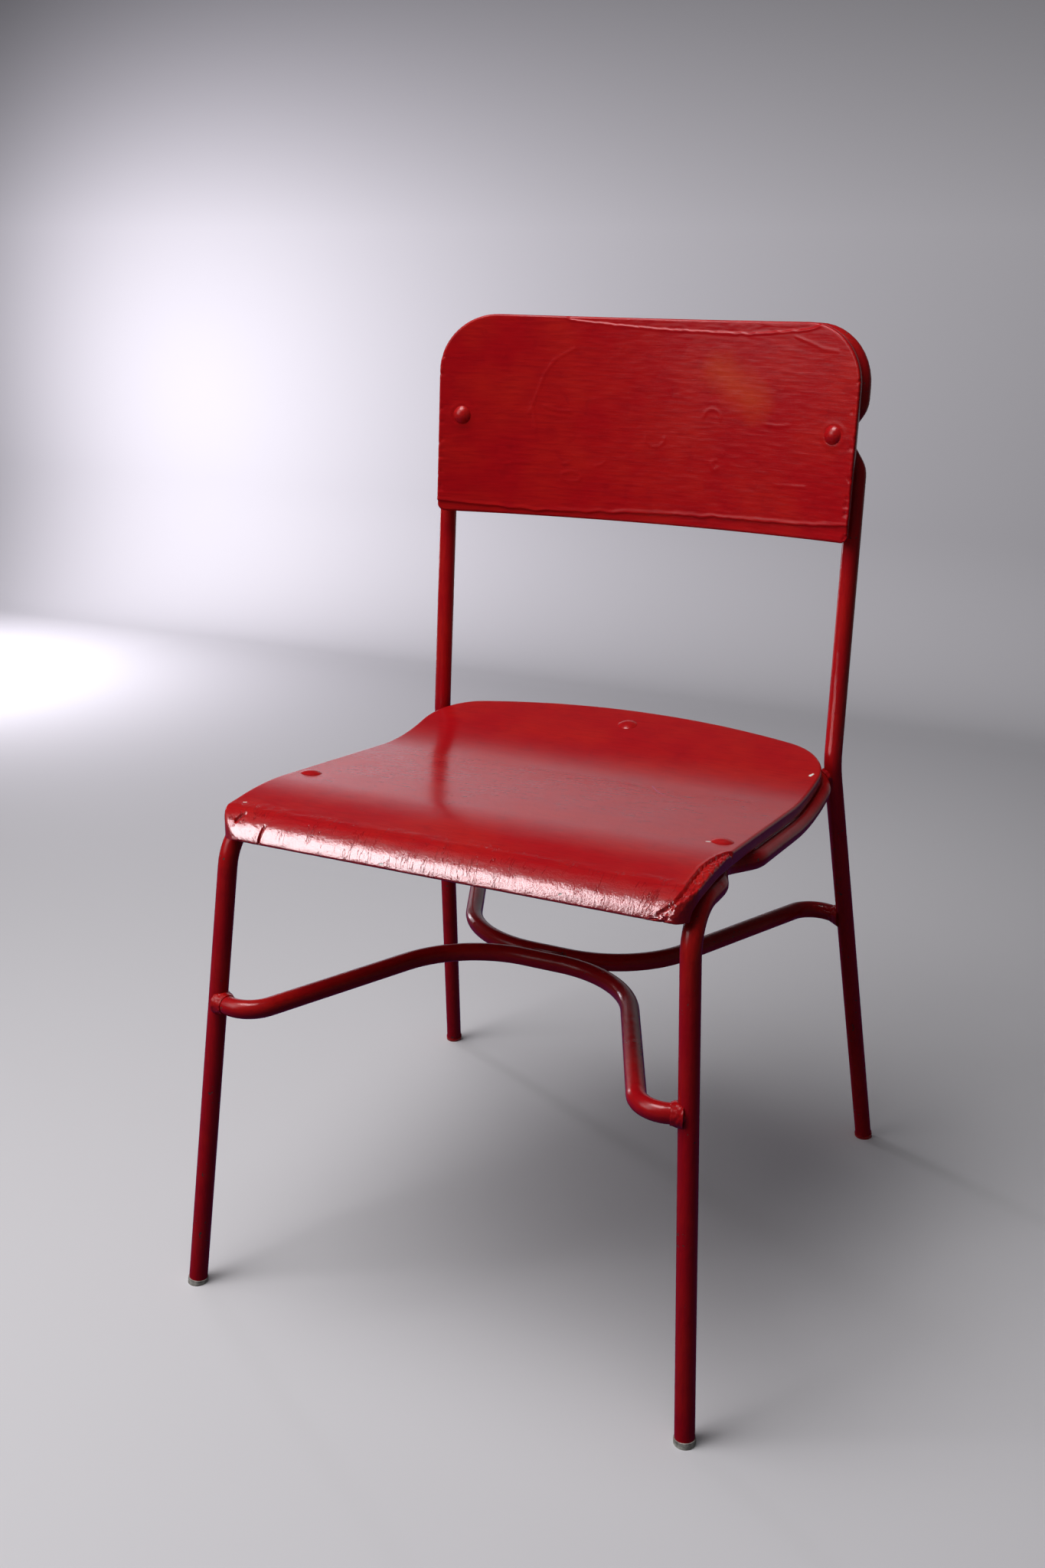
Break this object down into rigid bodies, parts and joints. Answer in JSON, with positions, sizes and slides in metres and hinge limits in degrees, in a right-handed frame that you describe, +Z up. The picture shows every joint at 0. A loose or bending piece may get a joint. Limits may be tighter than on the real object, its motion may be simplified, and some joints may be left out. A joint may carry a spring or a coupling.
{
  "type": "chair",
  "caption": "Side chair of bent round tube with bowed stretchers, a dished plywood seat with a rolled front lip, and a curved plywood back riveted to the frame.",
  "frame": {"origin": "on the floor, in the middle of the chair's overall box", "axes": "the chair faces -Y, +X is on the right of someone looking at its front, +Z is up"},
  "size_m": [0.5166, 0.5485, 0.8414],
  "materials": {
    "painted_plywood": "brush-painted gloss enamel on moulded plywood",
    "painted_tube": "brush-painted gloss enamel on steel tube",
    "weld_bead": "gloss enamel over a rough bead",
    "painted_rivet": "gloss enamel over a domed steel head",
    "washer": "gloss enamel over steel",
    "glide_front": "worn, off-white",
    "glide_rear": "worn, painted over"
  },
  "bodies": {
    "root": {"seat_panel": "painted_plywood", "back_panel": "painted_plywood", "seat_frame_tube": "painted_tube", "back_frame_tube": "painted_tube", "front_stretcher": "painted_tube", "rear_stretcher": "painted_tube", "weld_front_left": "weld_bead", "weld_front_right": "weld_bead", "weld_rear_left": "weld_bead", "weld_rear_right": "weld_bead", "weld_stretcher_middle": "weld_bead", "weld_rail_left": "weld_bead", "weld_rail_right": "weld_bead", "seat_rivet_front_left": "painted_rivet", "seat_rivet_front_right": "painted_rivet", "seat_rivet_rear": "painted_rivet", "back_rivet_left": "painted_rivet", "back_rivet_right": "painted_rivet", "seat_washer_front_left": "washer", "seat_washer_front_right": "washer", "seat_washer_rear": "washer", "back_washer_left": "washer", "back_washer_right": "washer", "glide_front_left": "glide_front", "glide_front_right": "glide_front", "glide_rear_left": "glide_rear", "glide_rear_right": "glide_rear"}
  },
  "joints": []
}
